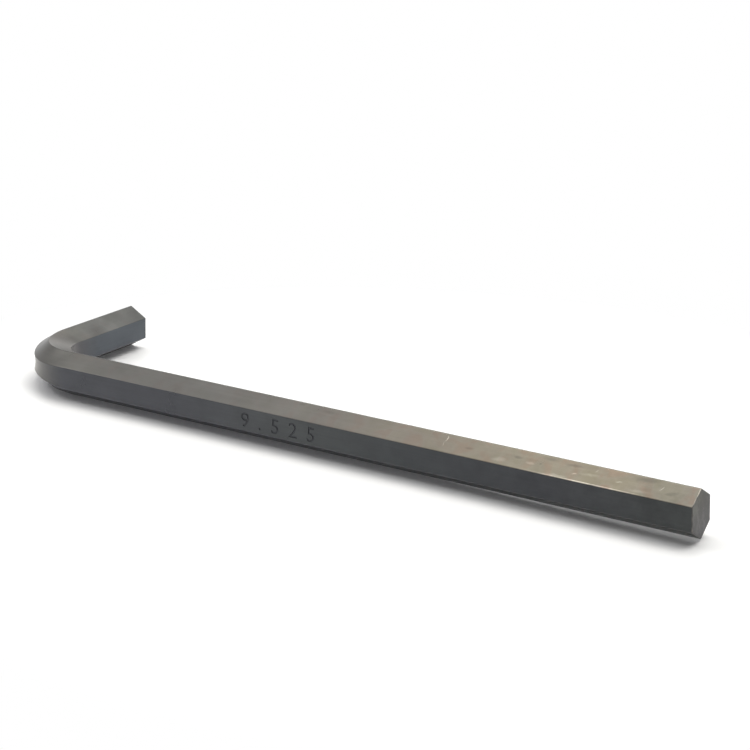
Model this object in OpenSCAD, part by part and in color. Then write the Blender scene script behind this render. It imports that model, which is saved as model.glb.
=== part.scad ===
// Hex key: an L-shaped driver, bent cold from one length of drawn hexagon bar.
// It lies on its two lower corners, with flats on the inner and outer sides of the L.
// X runs along the long arm, Y along the short arm, and Z is up.
// The origin is on the surface under the key, at the middle of the rectangle that the L fills.

/* [Bar] */
// Width across flats, the size of the socket that the key drives
across_flats = 9.525; // [6:0.025:14]
// How far each drawn corner falls short of a sharp one
corner_loss = 0.085; // [0.02:0.005:0.2]

/* [Arms] */
// Long arm, from the outer flat of the short arm to the furthest point of its tip
long_arm = 181; // [90:1:300]
// Short arm, from the outer flat of the long arm to its tip
short_arm = 47.6; // [40:0.1:90]

/* [Bend] */
// Radius of the bend, to the middle of the bar
bend_radius = 16; // [12:0.5:24]
// How far bending draws in each edge of the outer flat, at the middle of the bend
edge_draw = 0.75; // [0:0.05:1]
// How far it pulls the top and bottom corners towards the outer flat
corner_pull = 1.2; // [0:0.1:1.5]
// How far it flattens the top and bottom corners
corner_sink = 0.2; // [0:0.05:0.5]
// How far it squeezes each edge of the inner flat up or down, which makes that flat taller
edge_swell = 0.45; // [0:0.05:0.6]
// How far it sinks the inner flat into the bar
inner_sink = 0.45; // [0:0.05:0.6]

/* [Long tip] */
// Lean of the cropped face, which is set back towards the upper outer flat
crop_lean = 5.5; // [0:0.5:10]

/* [Hidden] */
// From an outer flat to the middle of its arm
half_flats = across_flats / 2;
// Half the width of one flat
half_side = half_flats * tan(30);
// From the middle of the bar to a sharp corner
sharp = 2 * half_side;
// What is straight of each arm, past the bend
long_straight = long_arm - half_flats - bend_radius;
short_straight = short_arm - half_flats - bend_radius;
// Direction of the upper outer flat in the section, counted from the inner flat
upper_outer = 120;
// Spare bar that the crop takes off
crop_waste = half_flats;
// Steps from an arm to the middle of the bend, which is at half_turn
bend_steps = 12;
half_turn = 45;

// Sharp corners of the section as [inwards, up]. How far it is drawn runs from 0 on the arms
// to 1 at the middle of the bend.
function corners(drawn) = [
    [half_flats - inner_sink * drawn, half_side + edge_swell * drawn],
    [-corner_pull * drawn, sharp - corner_sink * drawn],
    [-half_flats, half_side - edge_draw * drawn],
    [-half_flats, edge_draw * drawn - half_side],
    [-corner_pull * drawn, corner_sink * drawn - sharp],
    [half_flats - inner_sink * drawn, -half_side - edge_swell * drawn]
];

// Where a corner's small flat meets the side that runs to the next corner
function cut_back(corner, next) = corner + 2 * corner_loss * (next - corner) / norm(next - corner);

// Outline of the section, with a small flat at each corner
function outline(drawn) = let (c = corners(drawn), n = len(c))
    [for (i = [0:n - 1]) each [cut_back(c[i], c[(i + n - 1) % n]), cut_back(c[i], c[(i + 1) % n])]];

// The drawing sets in gently at both ends of the bend
function drawn_at(turn) = pow(sin(90 * turn / half_turn), 1.5);

// Outline of the section where the bar has turned this far from the long arm
function ring(turn) = [for (p = outline(drawn_at(turn))) let (r = bend_radius - p.x)
    [bend_radius - r * sin(turn), bend_radius - r * cos(turn), p.y]];

// Bend from the long arm to the plane that mirrors one arm's side on to the other's
module half_bend() {
    rings = [for (i = [0:bend_steps]) ring(half_turn * i / bend_steps)];
    n = len(rings[0]);
    side = [for (i = [0:bend_steps - 1], j = [0:n - 1]) let (a = i * n + j, b = i * n + (j + 1) % n)
        each [[a, b, a + n], [b, b + n, a + n]]];
    first_end = [for (j = [0:n - 1]) n - 1 - j];
    last_end = [for (j = [0:n - 1]) bend_steps * n + j];
    polyhedron([for (r = rings) each r], [first_end, each side, last_end]);
}

// Straight bar along +X, from the origin
module straight(length) {
    rotate([90, 0, 90]) linear_extrude(length) polygon(outline(0));
}

// The same bar with its tip cropped: full length on the lower inner flat, set back on the upper outer one
module cropped(length) {
    difference() {
        straight(length + crop_waste);
        rotate([90, 0, 90]) rotate(upper_outer)
            translate([-half_flats, 0, length]) rotate([0, crop_lean, 0])
                translate([-across_flats, -across_flats, 0]) cube([3 * across_flats, 2 * across_flats, across_flats]);
    }
}

// The whole key, one solid. The arms' middles would meet at the point that it is drawn about.
module hex_key() {
    color("dimgray")
        translate([half_flats - long_arm / 2, half_flats - short_arm / 2, sharp - corner_loss]) {
            half_bend();
            translate([bend_radius, 0, 0]) cropped(long_straight);
            mirror([1, -1, 0]) {
                half_bend();
                translate([bend_radius, 0, 0]) straight(short_straight);
            }
        }
}

hex_key();
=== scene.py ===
"""Looks of the hex key: a hexagon bar of black-oxide steel, bent into an L, lying on a pale floor.
Named lengths are in millimetres, except those of the floor and the softboxes, which are in metres."""

from math import cos, pi, radians, sin, tan

import bpy
from mathutils import Matrix, Vector


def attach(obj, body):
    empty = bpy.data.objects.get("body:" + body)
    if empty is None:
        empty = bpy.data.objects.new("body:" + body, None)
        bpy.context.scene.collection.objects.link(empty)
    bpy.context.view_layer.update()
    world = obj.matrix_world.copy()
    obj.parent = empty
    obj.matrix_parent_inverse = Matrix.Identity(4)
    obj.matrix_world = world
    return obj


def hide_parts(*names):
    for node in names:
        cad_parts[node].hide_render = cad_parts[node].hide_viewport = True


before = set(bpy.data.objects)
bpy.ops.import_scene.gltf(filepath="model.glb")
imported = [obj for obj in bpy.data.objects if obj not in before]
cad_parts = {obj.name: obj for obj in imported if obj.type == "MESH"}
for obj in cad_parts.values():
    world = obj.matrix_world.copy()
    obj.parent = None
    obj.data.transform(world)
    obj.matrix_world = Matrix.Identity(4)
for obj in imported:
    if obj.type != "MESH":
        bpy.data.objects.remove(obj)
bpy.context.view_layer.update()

MM = 0.001

# Sizes of the bar, the same as in the CAD source
ACROSS_FLATS = 9.525
LONG_ARM = 181.0
SHORT_ARM = 47.6
BEND_RADIUS = 16.0
CORNER_LOSS = 0.085
EDGE_DRAW = 0.75
CORNER_PULL = 1.2
CORNER_SINK = 0.2
EDGE_SWELL = 0.45
INNER_SINK = 0.45
CROP_LEAN = 5.5       # degrees

# What follows from them. A hexagon's side is as long as its middle is far from a sharp corner.
HALF_FLATS = ACROSS_FLATS / 2
SIDE = 2 * HALF_FLATS * tan(radians(30))
SHARP = SIDE
LONG_STRAIGHT = LONG_ARM - HALF_FLATS - BEND_RADIUS
SHORT_STRAIGHT = SHORT_ARM - HALF_FLATS - BEND_RADIUS
BEND_LENGTH = BEND_RADIUS * pi / 2
BAR_LENGTH = LONG_STRAIGHT + BEND_LENGTH + SHORT_STRAIGHT
BAR_ORIGIN = Vector((HALF_FLATS - LONG_ARM / 2, HALF_FLATS - SHORT_ARM / 2, SHARP - CORNER_LOSS))

# What only the looks need
SIDE_RADIUS = 0.25    # of the corners beside the upright flats, and of all six where the bar is drawn
RIDGE_RADIUS = CORNER_LOSS / (1 / cos(radians(30)) - 1)    # of the arms' top and bottom corners
HOLLOW = 0.2          # how far the outer flat sinks between its edges in the bend
TIP_EDGE = 0.16       # radius of the broken edge round both tip faces
SUPPORT = 0.12        # narrow strip that keeps a flat looking flat beside a round edge
CORNER_STEPS = 4
EDGE_STEPS = 4
BEND_STEPS = 72
STRAIGHT_STEP = 10.0
SIDE_STOPS = (0.25, 0.5, 0.75)
SHARP_FROM = 30       # degrees between two faces from which their edge is shaded sharp

# The size number stamped in the long arm's outer flat, which is the width across flats
NUMBER = "9.525"
NUMBER_AT = 99.5      # its middle, from the long tip
NUMBER_HEIGHT = 3.5
NUMBER_PITCH = 1.9    # letter spacing, as a multiple of the usual one
NUMBER_DEPTH = 0.15
NUMBER_CURVES = 5     # steps in each curve of a digit

# Material slots of the bar
SKIN, TIP_FACE, RECESS, RIM = range(4)


def hex_colour(code):
    """An sRGB hex code as the linear colour that Blender's sockets take."""
    parts = [int(code[i:i + 2], 16) / 255 for i in (0, 2, 4)]
    return tuple(c / 12.92 if c <= 0.04045 else ((c + 0.055) / 1.055) ** 2.4 for c in parts) + (1.0,)


def add(tree, kind, settings=None, inputs=None):
    """Adds one node. The setting "stops" fills a ramp with (position, hex code) pairs. An input is
    named, or numbered where names repeat, among the sockets in use. It is set to a number or a
    colour, or linked to a socket or to the output in use of a node."""
    node = tree.nodes.new(kind)
    for name, value in (settings or {}).items():
        if name == "stops":
            ramp = node.color_ramp.elements
            while len(ramp) < len(value):
                ramp.new(1.0)
            for stop, (position, code) in zip(ramp, value):
                stop.position, stop.color = position, hex_colour(code)
        else:
            setattr(node, name, value)
    used = [socket for socket in node.inputs if socket.enabled]
    for name, value in (inputs or {}).items():
        socket = used[name] if isinstance(name, int) else next(s for s in used if s.name == name)
        if isinstance(value, bpy.types.Node):
            value = next(s for s in value.outputs if s.enabled)
        if isinstance(value, bpy.types.NodeSocket):
            tree.links.new(value, socket)
        else:
            socket.default_value = value
    return node


def fresh_material(name):
    """A new material and its empty node tree."""
    material = bpy.data.materials.new(name)
    material.use_nodes = True
    material.node_tree.nodes.clear()
    return material, material.node_tree


def placed(name, data):
    """A new object in the scene."""
    made = bpy.data.objects.new(name, data)
    bpy.context.scene.collection.objects.link(made)
    return made


# The bar's shape


def cross(a, b):
    return a.x * b.y - a.y * b.x


def drawn_at(turn):
    """How far the bend has drawn the section, 0 where it starts and 1 at its middle."""
    return sin(2 * min(turn, pi / 2 - turn)) ** 1.5


def section_corners(drawn):
    """The six corners before rounding, as (inwards, up) from the bar's middle line."""
    half_side = SIDE / 2
    return [
        Vector((HALF_FLATS - INNER_SINK * drawn, half_side + EDGE_SWELL * drawn)),
        Vector((-CORNER_PULL * drawn, SHARP - CORNER_SINK * drawn)),
        Vector((-HALF_FLATS, half_side - EDGE_DRAW * drawn)),
        Vector((-HALF_FLATS, EDGE_DRAW * drawn - half_side)),
        Vector((-CORNER_PULL * drawn, CORNER_SINK * drawn - SHARP)),
        Vector((HALF_FLATS - INNER_SINK * drawn, -half_side - EDGE_SWELL * drawn)),
    ]


def rounded(before, corner, after, radius):
    """The arc that takes the place of a corner, as points."""
    back = (before - corner).normalized()
    on = (after - corner).normalized()
    half = back.angle(on) / 2
    middle = corner + (back + on).normalized() * radius / sin(half)
    start = corner + back * radius / tan(half) - middle
    way = -1 if cross(start, on) < 0 else 1
    sweep = way * (pi - 2 * half)
    return [middle + Matrix.Rotation(sweep * k / CORNER_STEPS, 2) @ start
            for k in range(CORNER_STEPS + 1)]


def section(drawn, inset):
    """The rounded outline, set in all round, as (inwards, up, side). Side counts the corners passed."""
    corners = [c * (1 - inset / HALF_FLATS) for c in section_corners(drawn)]
    ridge = RIDGE_RADIUS + (SIDE_RADIUS - RIDGE_RADIUS) * drawn
    radii = [ridge if i in (1, 4) else SIDE_RADIUS for i in range(6)]
    reaches = [radius * tan(radians(30)) / SIDE for radius in radii]
    arcs = [rounded(corners[i - 1], corners[i], corners[(i + 1) % 6], radii[i] - inset / 2)
            for i in range(6)]
    points = []
    for i, arc in enumerate(arcs):
        reach, next_reach = reaches[i], reaches[(i + 1) % 6]
        for k, p in enumerate(arc):
            points.append((p.x, p.y, i - reach + 2 * reach * k / CORNER_STEPS))
        a, b = arc[-1], arcs[(i + 1) % 6][0]
        strip = SUPPORT / (b - a).length
        sink = HOLLOW * drawn if i == 2 else 0.0
        for stop in (strip, *SIDE_STOPS, 1 - strip):
            p = a.lerp(b, stop)
            bow = sink * (1 - (2 * stop - 1) ** 2)
            points.append((p.x + bow, p.y, i + reach + (1 - reach - next_reach) * stop))
    return points


def stand(s):
    """Where the bar's middle line is at s mm from the long tip: point, inward way, heading, drawing."""
    turn = min(max((s - LONG_STRAIGHT) / BEND_RADIUS, 0.0), pi / 2)
    inward = Vector((sin(turn), cos(turn), 0))
    heading = Vector((-cos(turn), sin(turn), 0))
    point = Vector((BEND_RADIUS, BEND_RADIUS, 0)) - inward * BEND_RADIUS
    if s < LONG_STRAIGHT:
        point -= heading * (LONG_STRAIGHT - s)
    elif s > LONG_STRAIGHT + BEND_LENGTH:
        point += heading * (s - LONG_STRAIGHT - BEND_LENGTH)
    return point, inward, heading, drawn_at(turn) if 0 < turn < pi / 2 else 0.0


def crop(inwards, up):
    """How far the leaning cut of the long tip falls behind its foremost flat."""
    return tan(radians(CROP_LEAN)) * (up * cos(radians(30)) - inwards * 0.5 + HALF_FLATS)


def ring(s, inset=0.0, lean=False):
    """One ring of the bar, as (position, (distance along, side))."""
    point, inward, heading, drawn = stand(s)
    out = []
    for inwards, up, side in section(drawn, inset):
        behind = crop(inwards, up) if lean else 0.0
        place = point + inward * inwards + heading * behind + Vector((0, 0, up))
        out.append(((place + BAR_ORIGIN) * MM, (s + behind, side)))
    return out


def stations():
    """All rings from the long tip to the short one: (s, inset, lean)."""
    quarter = [radians(90) * k / EDGE_STEPS for k in range(EDGE_STEPS + 1)]
    edge = [(TIP_EDGE * (1 - cos(a)), TIP_EDGE * (1 - sin(a))) for a in quarter]
    out = [(0.0, TIP_EDGE + SUPPORT, True)]
    out += [(d, inset, True) for d, inset in edge]
    out += [(TIP_EDGE + SUPPORT, 0.0, True)]
    steps = round(LONG_STRAIGHT / STRAIGHT_STEP)
    out += [(LONG_STRAIGHT * k / steps, 0.0, False) for k in range(1, steps)]
    out += [(LONG_STRAIGHT + BEND_LENGTH * k / BEND_STEPS, 0.0, False) for k in range(BEND_STEPS + 1)]
    steps = round(SHORT_STRAIGHT / STRAIGHT_STEP)
    start = LONG_STRAIGHT + BEND_LENGTH
    out += [(start + SHORT_STRAIGHT * k / steps, 0.0, False) for k in range(1, steps)]
    out += [(BAR_LENGTH - TIP_EDGE - SUPPORT, 0.0, False)]
    out += [(BAR_LENGTH - d, inset, False) for d, inset in reversed(edge)]
    out += [(BAR_LENGTH, TIP_EDGE + SUPPORT, False)]
    return out


def bar_faces(rings):
    """The faces between the rings and over both tips: (corners, map at each corner, slot)."""
    count = len(rings[0])
    last = len(rings) - 1
    spots = [[spot for _, spot in one] for one in rings]
    faces = []
    for r in range(last):
        from_tip = min(r, last - 1 - r)
        slot = TIP_FACE if from_tip == 0 else RIM if from_tip <= EDGE_STEPS else SKIN
        here, there = r * count, (r + 1) * count
        for i in range(count):
            j = (i + 1) % count
            wrap = 6.0 if j == 0 else 0.0
            (near_along, near_side), (far_along, far_side) = spots[r][j], spots[r + 1][j]
            faces.append(((here + i, there + i, there + j, here + j),
                          (spots[r][i], spots[r + 1][i], (far_along, far_side + wrap),
                           (near_along, near_side + wrap)), slot))
    backwards = range(count - 1, -1, -1)
    faces.append((list(range(count)), spots[0], TIP_FACE))
    faces.append(([last * count + i for i in backwards], spots[last][::-1], TIP_FACE))
    return faces


def hexagon_bar():
    """The whole key as one closed loft, with a map of millimetres along and side round. Its faces
    have the slots of the skin, the tip faces and the rims round those."""
    rings = [ring(*station) for station in stations()]
    faces = bar_faces(rings)
    places = [place for one in rings for place, _ in one]
    mesh = bpy.data.meshes.new("hexagon_bar")
    mesh.from_pydata(places, [], [corners for corners, _, _ in faces])
    layer = mesh.uv_layers.new(name="bar_map")
    for poly, (_, spots, slot) in zip(mesh.polygons, faces):
        poly.material_index = slot
        for loop, spot in zip(poly.loop_indices, spots):
            layer.data[loop].uv = spot
    mesh.validate()
    return placed("hexagon_bar", mesh)


def number_punch():
    """The size number as a solid that stands half in and half out of the long arm's outer flat."""
    text = bpy.data.curves.new("number_punch", "FONT")
    text.body = NUMBER
    text.space_character = NUMBER_PITCH
    text.resolution_u = NUMBER_CURVES
    text.extrude = 1.0
    punch = placed("number_punch", text)
    bpy.context.view_layer.update()
    mesh = bpy.data.meshes.new_from_object(punch)
    bpy.data.objects.remove(punch)
    low, high = ([pick(v.co[i] for v in mesh.vertices) for i in range(2)] for pick in (min, max))
    size = NUMBER_HEIGHT / (high[1] - low[1])
    middle = Vector((LONG_ARM / 2 - NUMBER_AT, -SHORT_ARM / 2, BAR_ORIGIN.z))
    for v in mesh.vertices:
        across = (v.co.x - (low[0] + high[0]) / 2) * size
        up = (v.co.y - (low[1] + high[1]) / 2) * size
        v.co = (middle + Vector((across, -NUMBER_DEPTH * v.co.z, up))) * MM
    mesh.update()
    return mesh


def stamp_number(piece):
    """Sinks the number into the bar. The faces of the sunk number get the recess's slot."""
    mesh = number_punch()
    for poly in mesh.polygons:
        poly.material_index = RECESS
    punch = placed("number_punch", mesh)
    for material in piece.data.materials:
        mesh.materials.append(material)
    cut = piece.modifiers.new("stamp", "BOOLEAN")
    cut.operation = "DIFFERENCE"
    cut.solver = "EXACT"
    cut.object = punch
    bpy.context.view_layer.update()
    stamped = bpy.data.meshes.new_from_object(piece.evaluated_get(bpy.context.evaluated_depsgraph_get()))
    piece.modifiers.clear()
    piece.data = stamped
    bpy.data.objects.remove(punch)


# Materials


# Tones of the oxide skin on each kind of face: (millimetres from the long tip, sRGB hex). The upper outer
# face is worn to a pale bronze towards the long tip, where the key is held and turned. The other tones
# hold painted light as well as the oxide's tone: both flats are painted darker towards the long tip as
# painted shade, the faces in the bend and the short arm's upper inner face are painted lighter as a
# painted sheen, and the lower faces are painted lighter as a painted reflection of the lit floor.
# Painted shade darkens the inner flat towards the long tip, and a painted sheen lightens it in the bend,
# from 172 to 181 mm.
INNER_FLAT = [(0, "3F4141"), (95, "4A4C4D"), (160, "4B4C50"), (172, "65615D"), (181, "545253"),
              (192, "4D5156")]
# Painted shade darkens the outer flat towards the long tip, and a painted sheen lightens it in the bend,
# from 168 to 178 mm.
OUTER_FLAT = [(0, "3F4141"), (35, "404144"), (66, "434547"), (95, "4A4C4D"), (130, "4B4C50"),
              (161, "4C4D51"), (168, "5B5A58"), (174, "716E68"), (178, "767169"), (192, "4E5257")]
UPPER_OUTER = [(0, "4F4C46"), (8, "504D46"), (19, "565148"), (38, "57534A"), (66, "534F49"),
               (92, "4D4B48"), (120, "494846"), (150, "494846"), (172, "4C4B48")]
# A painted sheen lightens the upper inner face in the bend, from 168 to 182 mm, and a little on the short
# arm.
UPPER_INNER = [(0, "4A4A47"), (155, "50504D"), (168, "64625E"), (175, "74716D"), (182, "5F5E5A"),
               (192, "5A5A58")]
# The lower faces are painted lighter than the oxide, a painted reflection of the lit floor under the key.
LOWER_PAINTED_REFLECTION = [(0, "6E6E6E"), (60, "717175"), (130, "707078"), (200, "6A6A6D")]

# Where they lie round the bar, from one corner to another. The lower faces' painted lighter tone takes in
# half of the corners beside the flats too, and the inner flat is what is left.
FACES = [((2.0, 3.0), OUTER_FLAT), ((1.0, 2.0), UPPER_OUTER), ((0.0, 1.0), UPPER_INNER),
         ((2.98, 5.02), LOWER_PAINTED_REFLECTION)]
FACE_FADE = 0.01

# Marks on the long arm's upper outer face, as the photograph shows them, in millimetres:
# (from the long tip, from the top corner, half length, half width, degrees from along, strength)
PALE_MARKS = [
    (58.2, 1.5, 1.25, 0.16, 84, 0.6), (58.4, 3.1, 0.9, 0.12, 96, 0.35),
    (8.5, 2.3, 1.0, 0.14, 55, 0.45), (27.5, 3.5, 0.7, 0.3, 30, 0.3), (17.6, 3.0, 0.9, 0.3, 20, 0.28),
    (23.2, 1.5, 0.6, 0.25, 60, 0.25), (44.7, 4.0, 1.9, 0.9, 10, 0.16), (37.8, 3.2, 1.5, 0.5, 5, 0.2),
    (24.2, 2.9, 3.0, 0.5, 4, 0.12), (31.0, 4.9, 3.0, 0.4, 0, 0.2), (13.0, 4.4, 2.8, 0.6, 6, 0.12),
]
DARK_MARKS = [
    (52.3, 2.9, 1.4, 0.5, 5, 0.28), (40.9, 2.4, 1.3, 0.6, 0, 0.32), (35.4, 2.8, 0.5, 0.4, 0, 0.35),
    (28.2, 1.4, 2.6, 0.6, 4, 0.3), (12.0, 0.9, 4.0, 1.0, 10, 0.3), (33.5, 1.0, 1.6, 0.6, 0, 0.2),
    (88.0, 1.4, 2.8, 0.7, 0, 0.22), (95.5, 0.8, 1.0, 0.4, 0, 0.25), (6.0, 3.2, 2.0, 0.6, 20, 0.25),
]
PALE_MARK = "8B8881"
DARK_MARK = "33322F"
MARK_SHIFT = (1.0, 0.6, 0.0)    # widest swing of a mark's ragged edge, along and round

# The outer upper corner's line of bare steel
WORN_LINE = (0.34, 0.02)        # from and to, short of the corner
WORN_LINE_FADE = 0.06
WORN_ALONG = (16.0, 34.0)       # from and to, from the long tip
WORN_ALONG_FADE = 8.0
WORN_STEEL = "8B867D"

# Real sizes that the noises are drawn at. Lines and grit are coarser than the real ones, which are
# too fine to show.
CLOUD_WIDTH = 7.143     # clouds that the oil left as it dried
PATCH_WIDTH = 2.5       # patches of the worn skin
STAIN_WIDTH = 4.348     # brown and olive stains of the worn skin
RAGGED_WIDTH = 1.111    # ragged edges of the marks
LINE_LENGTH = 33.3      # drawing lines along the bar
LINE_SPACING = 0.625
SKIN_GRIT = 0.4         # crystals of the oxide
TIP_CLOUD = 2.5         # clouds on the tip faces
TIP_DRAW = 2.0          # how many times as tall as wide the blade has drawn them
TIP_GRIT = 0.5          # torn grit of the tip faces
RIM_WEAR = 1.538        # worn places along the rims

# How much they change the skin's lightness, as shares of it
CLOUD_SWING = 0.2
LINE_SWING = 0.1
PATCH_SWING = (0.5, 0.12)       # near the long tip, and past where the skin is worn
PATCH_FADE = (8.0, 70.0)        # from the long tip, where the one turns into the other
STAIN_SHARE = (1.0, 0.35)       # how strong the stains are, near the long tip and past the wear
STAIN_FADE = (30.0, 110.0)

# How matt each finish is, as roughness from and to, and how high its bumps are
SKIN_ROUGH = (0.27, 0.34)
MARK_ROUGH = 0.15               # more where a dark mark is
SKIN_BUMP = 0.01
TIP_ROUGH = (0.4, 0.6)
TIP_BUMP = 0.03
RIM_ROUGH = (0.4, 0.26)
RECESS_ROUGH = (0.45, 0.65)

# Where noises are looked up, in metres off the origin, where their octaves would line up
NOISE_SHIFT = (0.37, 0.53, 0.29)


def per_metre(width):
    """The scale of a noise whose shapes are this many millimetres wide, as places are in metres."""
    return 1 / (width * MM)


def tones_along(tree, along, tones):
    """A ramp of tones over the distance from the long tip."""
    end = tones[-1][0]
    share = add(tree, "ShaderNodeMath", {"operation": "DIVIDE"}, {0: along, 1: end})
    stops = [(at / end, code) for at, code in tones]
    return add(tree, "ShaderNodeValToRGB", {"stops": stops}, {"Fac": share})


def band(tree, value, low, high, soft):
    """1 where the value lies between low and high, fading over soft on both sides of each."""
    rise = add(tree, "ShaderNodeMapRange", {"interpolation_type": "SMOOTHSTEP"}, {
        "Value": value, "From Min": low - soft, "From Max": low + soft})
    fall = add(tree, "ShaderNodeMapRange", {"interpolation_type": "SMOOTHSTEP"}, {
        "Value": value, "From Min": high - soft, "From Max": high + soft, "To Min": 1.0, "To Max": 0.0})
    return add(tree, "ShaderNodeMath", {"operation": "MULTIPLY"}, {0: rise, 1: fall})


def marks(tree, skin, table):
    """The strongest of a table's marks at each place. Each is an ellipse that fades to its rim."""
    most = None
    for along, across, length, width, turn, strength in table:
        spot = add(tree, "ShaderNodeMapping", {"vector_type": "TEXTURE"}, {
            "Vector": skin, "Location": (along, SIDE + across, 0.0),
            "Rotation": (0.0, 0.0, radians(turn)), "Scale": (length, width, 1.0)})
        far = add(tree, "ShaderNodeVectorMath", {"operation": "LENGTH"}, {0: spot})
        mark = add(tree, "ShaderNodeMapRange", {"interpolation_type": "SMOOTHSTEP"}, {
            "Value": far, "From Min": 0.2, "From Max": 1.0, "To Min": strength, "To Max": 0.0})
        most = mark if most is None else add(tree, "ShaderNodeMath", {"operation": "MAXIMUM"}, {
            0: most, 1: mark})
    return most


def noise_place(tree):
    """The place on the bar that noises are looked up at."""
    place = add(tree, "ShaderNodeTexCoord").outputs["Object"]
    return add(tree, "ShaderNodeVectorMath", {"operation": "ADD"}, {0: place, 1: NOISE_SHIFT})


def skin_map(tree):
    """The bar's own map: millimetres from the long tip, corners passed, and both in millimetres."""
    spot = add(tree, "ShaderNodeUVMap", {"uv_map": "bar_map"})
    axes = add(tree, "ShaderNodeSeparateXYZ", {}, {"Vector": spot})
    along, side = axes.outputs["X"], axes.outputs["Y"]
    around = add(tree, "ShaderNodeMath", {"operation": "MULTIPLY"}, {0: side, 1: SIDE})
    return along, side, add(tree, "ShaderNodeCombineXYZ", {}, {"X": along, "Y": around})


def face_tones(tree, along, side):
    """The tones of the kinds of face, with painted light: the lower ones painted lighter as a painted
    reflection of the lit floor, the flats painted darker towards the long tip as painted shade, and the
    bend painted lighter as a painted sheen.
    """
    colour = tones_along(tree, along, INNER_FLAT)
    for (first, last), tones in FACES:
        colour = add(tree, "ShaderNodeMix", {"data_type": "RGBA"}, {
            "Factor": band(tree, side, first, last, FACE_FADE), "A": colour,
            "B": tones_along(tree, along, tones)})
    return colour


def marked(tree, colour, skin, place):
    """The colour with its marks, and how strong the dark ones are. Their edges are made ragged,
    mostly by less than 0.3 mm."""
    ragged = add(tree, "ShaderNodeTexNoise", {}, {
        "Vector": place, "Scale": per_metre(RAGGED_WIDTH), "Detail": 2.0})
    shift = add(tree, "ShaderNodeVectorMath", {"operation": "SUBTRACT"}, {
        0: ragged.outputs["Color"], 1: (0.5, 0.5, 0.5)})
    shift = add(tree, "ShaderNodeVectorMath", {"operation": "MULTIPLY"}, {0: shift, 1: MARK_SHIFT})
    shifted = add(tree, "ShaderNodeVectorMath", {"operation": "ADD"}, {0: skin, 1: shift})
    pale = marks(tree, shifted, PALE_MARKS)
    dark = marks(tree, shifted, DARK_MARKS)
    colour = add(tree, "ShaderNodeMix", {"data_type": "RGBA"}, {
        "Factor": dark, "A": colour, "B": hex_colour(DARK_MARK)})
    colour = add(tree, "ShaderNodeMix", {"data_type": "RGBA"}, {
        "Factor": pale, "A": colour, "B": hex_colour(PALE_MARK)})
    return colour, dark


def worn_corner(tree, colour, along, side, patch):
    """The colour with the line of bare steel beside the outer upper corner, broken up by the patches."""
    first, last = (2.0 - short / SIDE for short in WORN_LINE)
    worn = add(tree, "ShaderNodeMath", {"operation": "MULTIPLY"}, {
        0: band(tree, along, *WORN_ALONG, WORN_ALONG_FADE),
        1: band(tree, side, first, last, WORN_LINE_FADE / SIDE)})
    broken = add(tree, "ShaderNodeMapRange", {}, {
        "Value": patch, "From Min": 0.35, "From Max": 0.6, "To Min": 0.65, "To Max": 1.0})
    worn = add(tree, "ShaderNodeMath", {"operation": "MULTIPLY"}, {0: worn, 1: broken})
    return add(tree, "ShaderNodeMix", {"data_type": "RGBA"}, {
        "Factor": worn, "A": colour, "B": hex_colour(WORN_STEEL)})


def stained(tree, colour, along, side, place):
    """The colour of the upper faces, turned brown in one place and olive in the next, and most
    towards the long tip."""
    stain = add(tree, "ShaderNodeTexNoise", {}, {
        "Vector": place, "Scale": per_metre(STAIN_WIDTH), "Detail": 3.0, "Distortion": 0.6})
    stain = add(tree, "ShaderNodeValToRGB", {
        "stops": [(0.38, "FFF4F1"), (0.5, "FFFFFF"), (0.62, "F9FAF4")]}, {"Fac": stain})
    how_much = add(tree, "ShaderNodeMapRange", {}, {
        "Value": along, "From Min": STAIN_FADE[0], "From Max": STAIN_FADE[1],
        "To Min": STAIN_SHARE[0], "To Max": STAIN_SHARE[1]})
    how_much = add(tree, "ShaderNodeMath", {"operation": "MULTIPLY"}, {
        0: how_much, 1: band(tree, side, 0.0, 2.0, FACE_FADE)})
    return add(tree, "ShaderNodeMix", {"data_type": "RGBA", "blend_type": "MULTIPLY"}, {
        "Factor": how_much, "A": colour, "B": stain})


def lightness(tree, along, cloud, patch, line):
    """1, or more and less with the clouds, the lines and, mostly towards the long tip, the patches."""
    patchy = add(tree, "ShaderNodeMapRange", {}, {
        "Value": along, "From Min": PATCH_FADE[0], "From Max": PATCH_FADE[1],
        "To Min": PATCH_SWING[0], "To Max": PATCH_SWING[1]})
    swing = add(tree, "ShaderNodeMath", {"operation": "SUBTRACT"}, {0: patch, 1: 0.5})
    swing = add(tree, "ShaderNodeMath", {"operation": "MULTIPLY"}, {0: swing, 1: patchy})
    for noise, most in ((cloud, CLOUD_SWING), (line, LINE_SWING)):
        drift = add(tree, "ShaderNodeMapRange", {"clamp": False}, {
            "Value": noise, "To Min": -most, "To Max": most})
        swing = add(tree, "ShaderNodeMath", {"operation": "ADD"}, {0: swing, 1: drift})
    return add(tree, "ShaderNodeMath", {"operation": "ADD"}, {0: swing, 1: 1.0})


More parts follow.
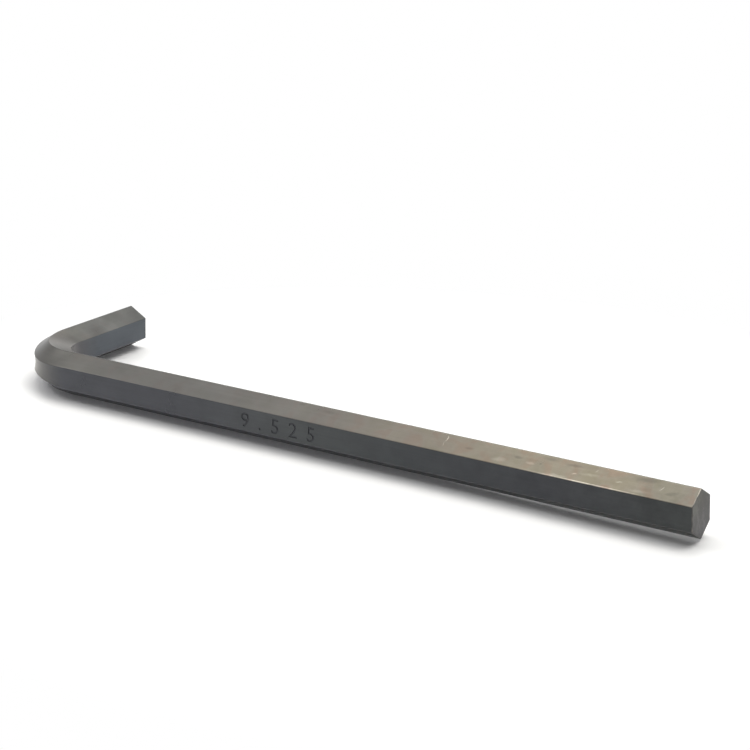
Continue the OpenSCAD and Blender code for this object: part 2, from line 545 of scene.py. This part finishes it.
def black_oxide_steel():
    """Cold-drawn alloy steel, blackened in an oxide bath: a thin dark satin skin with fine lines along
    the bar from drawing. It is clouded where the oil dried, worn pale bronze towards the long tip,
    and worn through to bare steel beside the outer upper corner there."""
    material, tree = fresh_material("black_oxide_steel")
    along, side, skin = skin_map(tree)
    place = noise_place(tree)
    cloud = add(tree, "ShaderNodeTexNoise", {}, {
        "Vector": place, "Scale": per_metre(CLOUD_WIDTH), "Detail": 3.0})
    patch = add(tree, "ShaderNodeTexNoise", {}, {
        "Vector": place, "Scale": per_metre(PATCH_WIDTH), "Detail": 4.0, "Roughness": 0.6,
        "Distortion": 0.4})
    grit = add(tree, "ShaderNodeTexNoise", {}, {
        "Vector": place, "Scale": per_metre(SKIN_GRIT), "Detail": 2.0})
    stretched = add(tree, "ShaderNodeVectorMath", {"operation": "MULTIPLY"}, {
        0: skin, 1: (1 / LINE_LENGTH, 1 / LINE_SPACING, 0.0)})
    line = add(tree, "ShaderNodeTexNoise", {}, {
        "Vector": stretched, "Scale": 1.0, "Detail": 3.0, "Roughness": 0.65})

    colour = face_tones(tree, along, side)
    colour, dark = marked(tree, colour, skin, place)
    colour = worn_corner(tree, colour, along, side, patch)
    colour = stained(tree, colour, along, side, place)
    colour = add(tree, "ShaderNodeVectorMath", {"operation": "SCALE"}, {
        "Vector": colour, "Scale": lightness(tree, along, cloud, patch, line)})

    # Satin, a little duller in the clouds and more so on the dark marks
    rough = add(tree, "ShaderNodeMapRange", {}, {
        "Value": cloud, "From Min": 0.3, "From Max": 0.7,
        "To Min": SKIN_ROUGH[0], "To Max": SKIN_ROUGH[1]})
    rough = add(tree, "ShaderNodeMath", {"operation": "MULTIPLY_ADD"}, {0: dark, 1: MARK_ROUGH, 2: rough})
    height = add(tree, "ShaderNodeMath", {"operation": "MULTIPLY_ADD"}, {0: line, 1: 0.5, 2: grit})
    bump = add(tree, "ShaderNodeBump", {}, {
        "Height": height, "Strength": 0.3, "Distance": SKIN_BUMP * MM})
    shader = add(tree, "ShaderNodeBsdfPrincipled", {}, {
        "Base Color": colour, "Metallic": 1.0, "Roughness": rough, "Normal": bump})
    add(tree, "ShaderNodeOutputMaterial", {}, {"Surface": shader})
    return material


def cropped_steel():
    """The tip faces, cropped with a blade before blackening: matt, with torn grit, and clouds drawn
    out upwards by the blade."""
    material, tree = fresh_material("cropped_steel")
    place = noise_place(tree)
    drawn_out = add(tree, "ShaderNodeVectorMath", {"operation": "MULTIPLY"}, {
        0: place, 1: (1.0, 1.0, 1 / TIP_DRAW)})
    cloud = add(tree, "ShaderNodeTexNoise", {}, {
        "Vector": drawn_out, "Scale": per_metre(TIP_CLOUD), "Detail": 3.0})
    grit = add(tree, "ShaderNodeTexNoise", {}, {
        "Vector": place, "Scale": per_metre(TIP_GRIT), "Detail": 4.0})
    both = add(tree, "ShaderNodeMath", {"operation": "MULTIPLY_ADD"}, {0: grit, 1: 0.4, 2: cloud})
    colour = add(tree, "ShaderNodeValToRGB", {
        "stops": [(0.5, "484746"), (0.7, "535251"), (0.88, "646462")]}, {"Fac": both})
    # Olive towards the top of each face and bluish towards the bottom
    height = add(tree, "ShaderNodeSeparateXYZ", {}, {
        "Vector": add(tree, "ShaderNodeTexCoord").outputs["Object"]}).outputs["Z"]
    tint = add(tree, "ShaderNodeMapRange", {}, {
        "Value": height, "From Min": 1.0 * MM, "From Max": 9.0 * MM})
    tint = add(tree, "ShaderNodeValToRGB", {
        "stops": [(0.0, "F6F5FC"), (0.5, "FFFEFF"), (1.0, "F7F8EC")]}, {"Fac": tint})
    colour = add(tree, "ShaderNodeVectorMath", {"operation": "MULTIPLY"}, {0: colour, 1: tint})
    bump = add(tree, "ShaderNodeBump", {}, {
        "Height": grit, "Strength": 0.5, "Distance": TIP_BUMP * MM})
    rough = add(tree, "ShaderNodeMapRange", {}, {
        "Value": cloud, "To Min": TIP_ROUGH[0], "To Max": TIP_ROUGH[1]})
    shader = add(tree, "ShaderNodeBsdfPrincipled", {}, {
        "Base Color": colour, "Metallic": 1.0, "Roughness": rough, "Normal": bump})
    add(tree, "ShaderNodeOutputMaterial", {}, {"Surface": shader})
    return material


def rubbed_rim():
    """The broken edges round the tip faces, where use has rubbed the oxide off the steel in places,
    and most along the upper outer face. Rubbed steel is smoother, so it also shines more."""
    material, tree = fresh_material("rubbed_rim")
    worn = add(tree, "ShaderNodeTexNoise", {}, {
        "Vector": noise_place(tree), "Scale": per_metre(RIM_WEAR), "Detail": 3.0})
    spot = add(tree, "ShaderNodeUVMap", {"uv_map": "bar_map"})
    side = add(tree, "ShaderNodeSeparateXYZ", {}, {"Vector": spot}).outputs["Y"]
    most = add(tree, "ShaderNodeMath", {"operation": "MULTIPLY_ADD"}, {
        0: band(tree, side, 1.0, 2.0, 0.1), 1: 0.16, 2: worn})
    colour = add(tree, "ShaderNodeValToRGB", {
        "stops": [(0.4, "484746"), (0.6, "5B5956"), (0.85, "918C83")]}, {"Fac": most})
    rough = add(tree, "ShaderNodeMapRange", {}, {
        "Value": worn, "To Min": RIM_ROUGH[0], "To Max": RIM_ROUGH[1]})
    shader = add(tree, "ShaderNodeBsdfPrincipled", {}, {
        "Base Color": colour, "Metallic": 1.0, "Roughness": rough})
    add(tree, "ShaderNodeOutputMaterial", {}, {"Surface": shader})
    return material


def stamped_recess():
    """The bottom and walls of the stamped number: a little darker than the skin as painted shade, and
    duller."""
    material, tree = fresh_material("stamped_recess")
    grit = add(tree, "ShaderNodeTexNoise", {}, {
        "Vector": noise_place(tree), "Scale": per_metre(SKIN_GRIT), "Detail": 3.0})
    # The recess tones are painted shade, a little darker than the skin.
    colour = add(tree, "ShaderNodeValToRGB", {"stops": [(0.3, "424346"), (0.7, "4F5053")]}, {"Fac": grit})
    rough = add(tree, "ShaderNodeMapRange", {}, {
        "Value": grit, "To Min": RECESS_ROUGH[0], "To Max": RECESS_ROUGH[1]})
    shader = add(tree, "ShaderNodeBsdfPrincipled", {}, {
        "Base Color": colour, "Metallic": 1.0, "Roughness": rough})
    add(tree, "ShaderNodeOutputMaterial", {}, {"Surface": shader})
    return material


# Stage, light and camera


# The floor, in metres. It is level under the bend and falls away a little under the long tip,
# because the photographed key's free end stands just clear of it.
FLOOR_REACH = 3.0               # from the middle to each side
LEVEL_TO = 0.015                # X at which it starts to fall
BENT_TO = 0.045                 # X from which it falls evenly
BENT_STEPS = 6
FLOOR_FALL = 0.5                # degrees
FLOOR_GAP = 0.00002             # how far below the key it lies, so that the two never meet

# The board round the key, which is lit and keeps its shadow. All beyond it is plain white. Its middle
# lies right of the key's, so that the plain white paints out the tail of the shadow left of the bend, as
# painted light.
LIT_MIDDLE = (0.03, 0.0, 0.0)
LIT_REACH = (0.135, 0.12, 1.0)
LIT_FADE = (0.86, 1.2)          # where it turns to plain white, in multiples of its reach
BOARD_GLOW = 0.035              # what it still lacks of white, as its lit colour is below 1

# Softboxes: name, place, what it faces and size in metres, radiance at its middle, colour. Together
# they light the floor at 1.1 times the level at which a colour renders as it is written.
SOFTBOXES = [
    ("overhead_softbox", (0.0, 0.4, 1.0), (0.0, 0.4, 0.0), (2.2, 1.2), 7.3, "FFFEFB"),
    ("side_softbox", (-0.95, -0.25, 0.95), (0.0, 0.0, 0.0), (1.0, 1.0), 6.5, "FFFFFF"),
    ("rear_softbox", (0.2, 1.4, 0.35), (0.0, 0.0, 0.0), (2.4, 0.6), 2.0, "FFFFFF"),
]
WORLD_LIGHT = 0.12              # the world's strength for what it lights, 1 where it is seen

# The photograph's view
SENSOR_WIDTH = 36.0
LENS = 85.07
CAMERA_PLACE = Vector((192.723, -346.491, 137.869))
CAMERA_AIM = Vector((-10.384, 23.737, 5.4))
CAMERA_ROLL = 2.22              # degrees
CLIP_START = 10.0


def seen_rays(tree):
    """1 for the rays of the camera and of gloss and glass, 0 for those that carry light."""
    rays = add(tree, "ShaderNodeLightPath")
    seen = add(tree, "ShaderNodeMath", {"operation": "MAXIMUM"}, {
        0: rays.outputs["Is Camera Ray"], 1: rays.outputs["Is Glossy Ray"]})
    return add(tree, "ShaderNodeMath", {"operation": "MAXIMUM"}, {
        0: seen, 1: rays.outputs["Is Transmission Ray"]})


def floor_board():
    """A coated white board, smooth enough for a faint sheen. Seen by the eye or in the steel, it
    turns to plain white away from the key, and near the key it is lit, so that it keeps the shadow."""
    material, tree = fresh_material("white_floor_board")
    seen = seen_rays(tree)
    glow = add(tree, "ShaderNodeMath", {"operation": "MULTIPLY"}, {0: seen, 1: BOARD_GLOW})
    board = add(tree, "ShaderNodeBsdfPrincipled", {}, {
        "Base Color": hex_colour("FAFAFA"), "Roughness": 0.35, "Specular IOR Level": 0.3,
        "Emission Color": hex_colour("FFFFFF"), "Emission Strength": glow})
    white = add(tree, "ShaderNodeEmission", {}, {"Color": hex_colour("FFFFFF"), "Strength": 1.0})
    far = add(tree, "ShaderNodeMapping", {"vector_type": "TEXTURE"}, {
        "Vector": add(tree, "ShaderNodeTexCoord").outputs["Object"],
        "Location": LIT_MIDDLE, "Scale": LIT_REACH})
    far = add(tree, "ShaderNodeVectorMath", {"operation": "LENGTH"}, {0: far})
    far = add(tree, "ShaderNodeMapRange", {"interpolation_type": "SMOOTHSTEP"}, {
        "Value": far, "From Min": LIT_FADE[0], "From Max": LIT_FADE[1]})
    # Plain white is painted over the board where far is 1, also over the shadow's tail left of the bend.
    plain = add(tree, "ShaderNodeMath", {"operation": "MULTIPLY"}, {0: seen, 1: far})
    shader = add(tree, "ShaderNodeMixShader", {}, {0: plain, 1: board, 2: white})
    add(tree, "ShaderNodeOutputMaterial", {}, {"Surface": shader})
    return material


def stage():
    """The pale floor, as strips that run across the key."""
    slope, bend = tan(radians(FLOOR_FALL)), BENT_TO - LEVEL_TO
    rows = [-FLOOR_REACH, *(LEVEL_TO + bend * k / BENT_STEPS for k in range(BENT_STEPS + 1)), FLOOR_REACH]
    verts = []
    for x in rows:
        bent = min(max(x - LEVEL_TO, 0.0), bend)
        drop = slope * bent ** 2 / (2 * bend) + slope * max(x - BENT_TO, 0.0)
        verts += [(x, -FLOOR_REACH, -drop), (x, FLOOR_REACH, -drop)]
    faces = [(2 * k, 2 * k + 2, 2 * k + 3, 2 * k + 1) for k in range(len(rows) - 1)]
    mesh = bpy.data.meshes.new("floor")
    mesh.from_pydata(verts, [], faces)
    mesh.polygons.foreach_set("use_smooth", [True] * len(faces))
    mesh.materials.append(floor_board())
    floor = placed("floor", mesh)
    floor.location.z = -FLOOR_GAP


def softbox(name, place, aim, size, radiance, colour):
    """A softbox with a hot middle and soft edges, facing the aim and not seen by the camera."""
    data = bpy.data.lights.new(name, "AREA")
    data.shape = "RECTANGLE"
    data.size, data.size_y = size
    data.energy = radiance * pi * size[0] * size[1]
    data.color = hex_colour(colour)[:3]
    data.use_nodes = True
    tree = data.node_tree
    tree.nodes.clear()
    spot = add(tree, "ShaderNodeNewGeometry").outputs["Parametric"]
    across = add(tree, "ShaderNodeSeparateXYZ", {}, {"Vector": spot})
    falls = []
    for way in ("X", "Y"):
        from_edge = add(tree, "ShaderNodeMath", {"operation": "PINGPONG"}, {
            0: across.outputs[way], 1: 0.5})
        falls.append(add(tree, "ShaderNodeMapRange", {"interpolation_type": "SMOOTHSTEP"}, {
            "Value": from_edge, "From Max": 0.5}))
    strength = add(tree, "ShaderNodeMath", {"operation": "MULTIPLY"}, {0: falls[0], 1: falls[1]})
    glow = add(tree, "ShaderNodeEmission", {}, {"Color": hex_colour("FFFFFF"), "Strength": strength})
    add(tree, "ShaderNodeOutputLight", {}, {"Surface": glow})
    lamp = placed(name, data)
    lamp.location = place
    lamp.rotation_euler = (Vector(aim) - Vector(place)).to_track_quat("-Z", "Y").to_euler()
    lamp.visible_camera = False


def lights():
    """Softboxes overhead, on the left and low behind, and a white world that only the eye and
    gloss see in full."""
    for row in SOFTBOXES:
        softbox(*row)
    world = bpy.data.worlds.new("studio")
    bpy.context.scene.world = world
    world.use_nodes = True
    tree = world.node_tree
    tree.nodes.clear()
    strength = add(tree, "ShaderNodeMapRange", {}, {
        "Value": seen_rays(tree), "To Min": WORLD_LIGHT, "To Max": 1.0})
    sky = add(tree, "ShaderNodeBackground", {}, {"Color": hex_colour("FFFFFF"), "Strength": strength})
    add(tree, "ShaderNodeOutputWorld", {}, {"Surface": sky})


def camera():
    """A plain lens without shift, at the photograph's place."""
    data = bpy.data.cameras.new("camera")
    data.sensor_width = SENSOR_WIDTH
    data.lens = LENS
    data.clip_start = CLIP_START * MM
    eye = placed("camera", data)
    turn = (CAMERA_AIM - CAMERA_PLACE).to_track_quat("-Z", "Y").to_matrix()
    turn @= Matrix.Rotation(radians(CAMERA_ROLL), 3, "Z")
    eye.matrix_world = Matrix.Translation(CAMERA_PLACE * MM) @ turn.to_4x4()
    bpy.context.scene.camera = eye


def key():
    """The finished bar, which rides on the part's one body and stands for its one solid."""
    bar = hexagon_bar()
    for finish in (black_oxide_steel(), cropped_steel(), stamped_recess(), rubbed_rim()):
        bar.data.materials.append(finish)
    stamp_number(bar)
    bar.data.polygons.foreach_set("use_smooth", [True] * len(bar.data.polygons))
    bar.data.set_sharp_from_angle(angle=radians(SHARP_FROM))
    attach(bar, "root")
    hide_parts("hex_key")


key()
stage()
lights()
camera()
bpy.context.scene.view_settings.view_transform = "Standard"
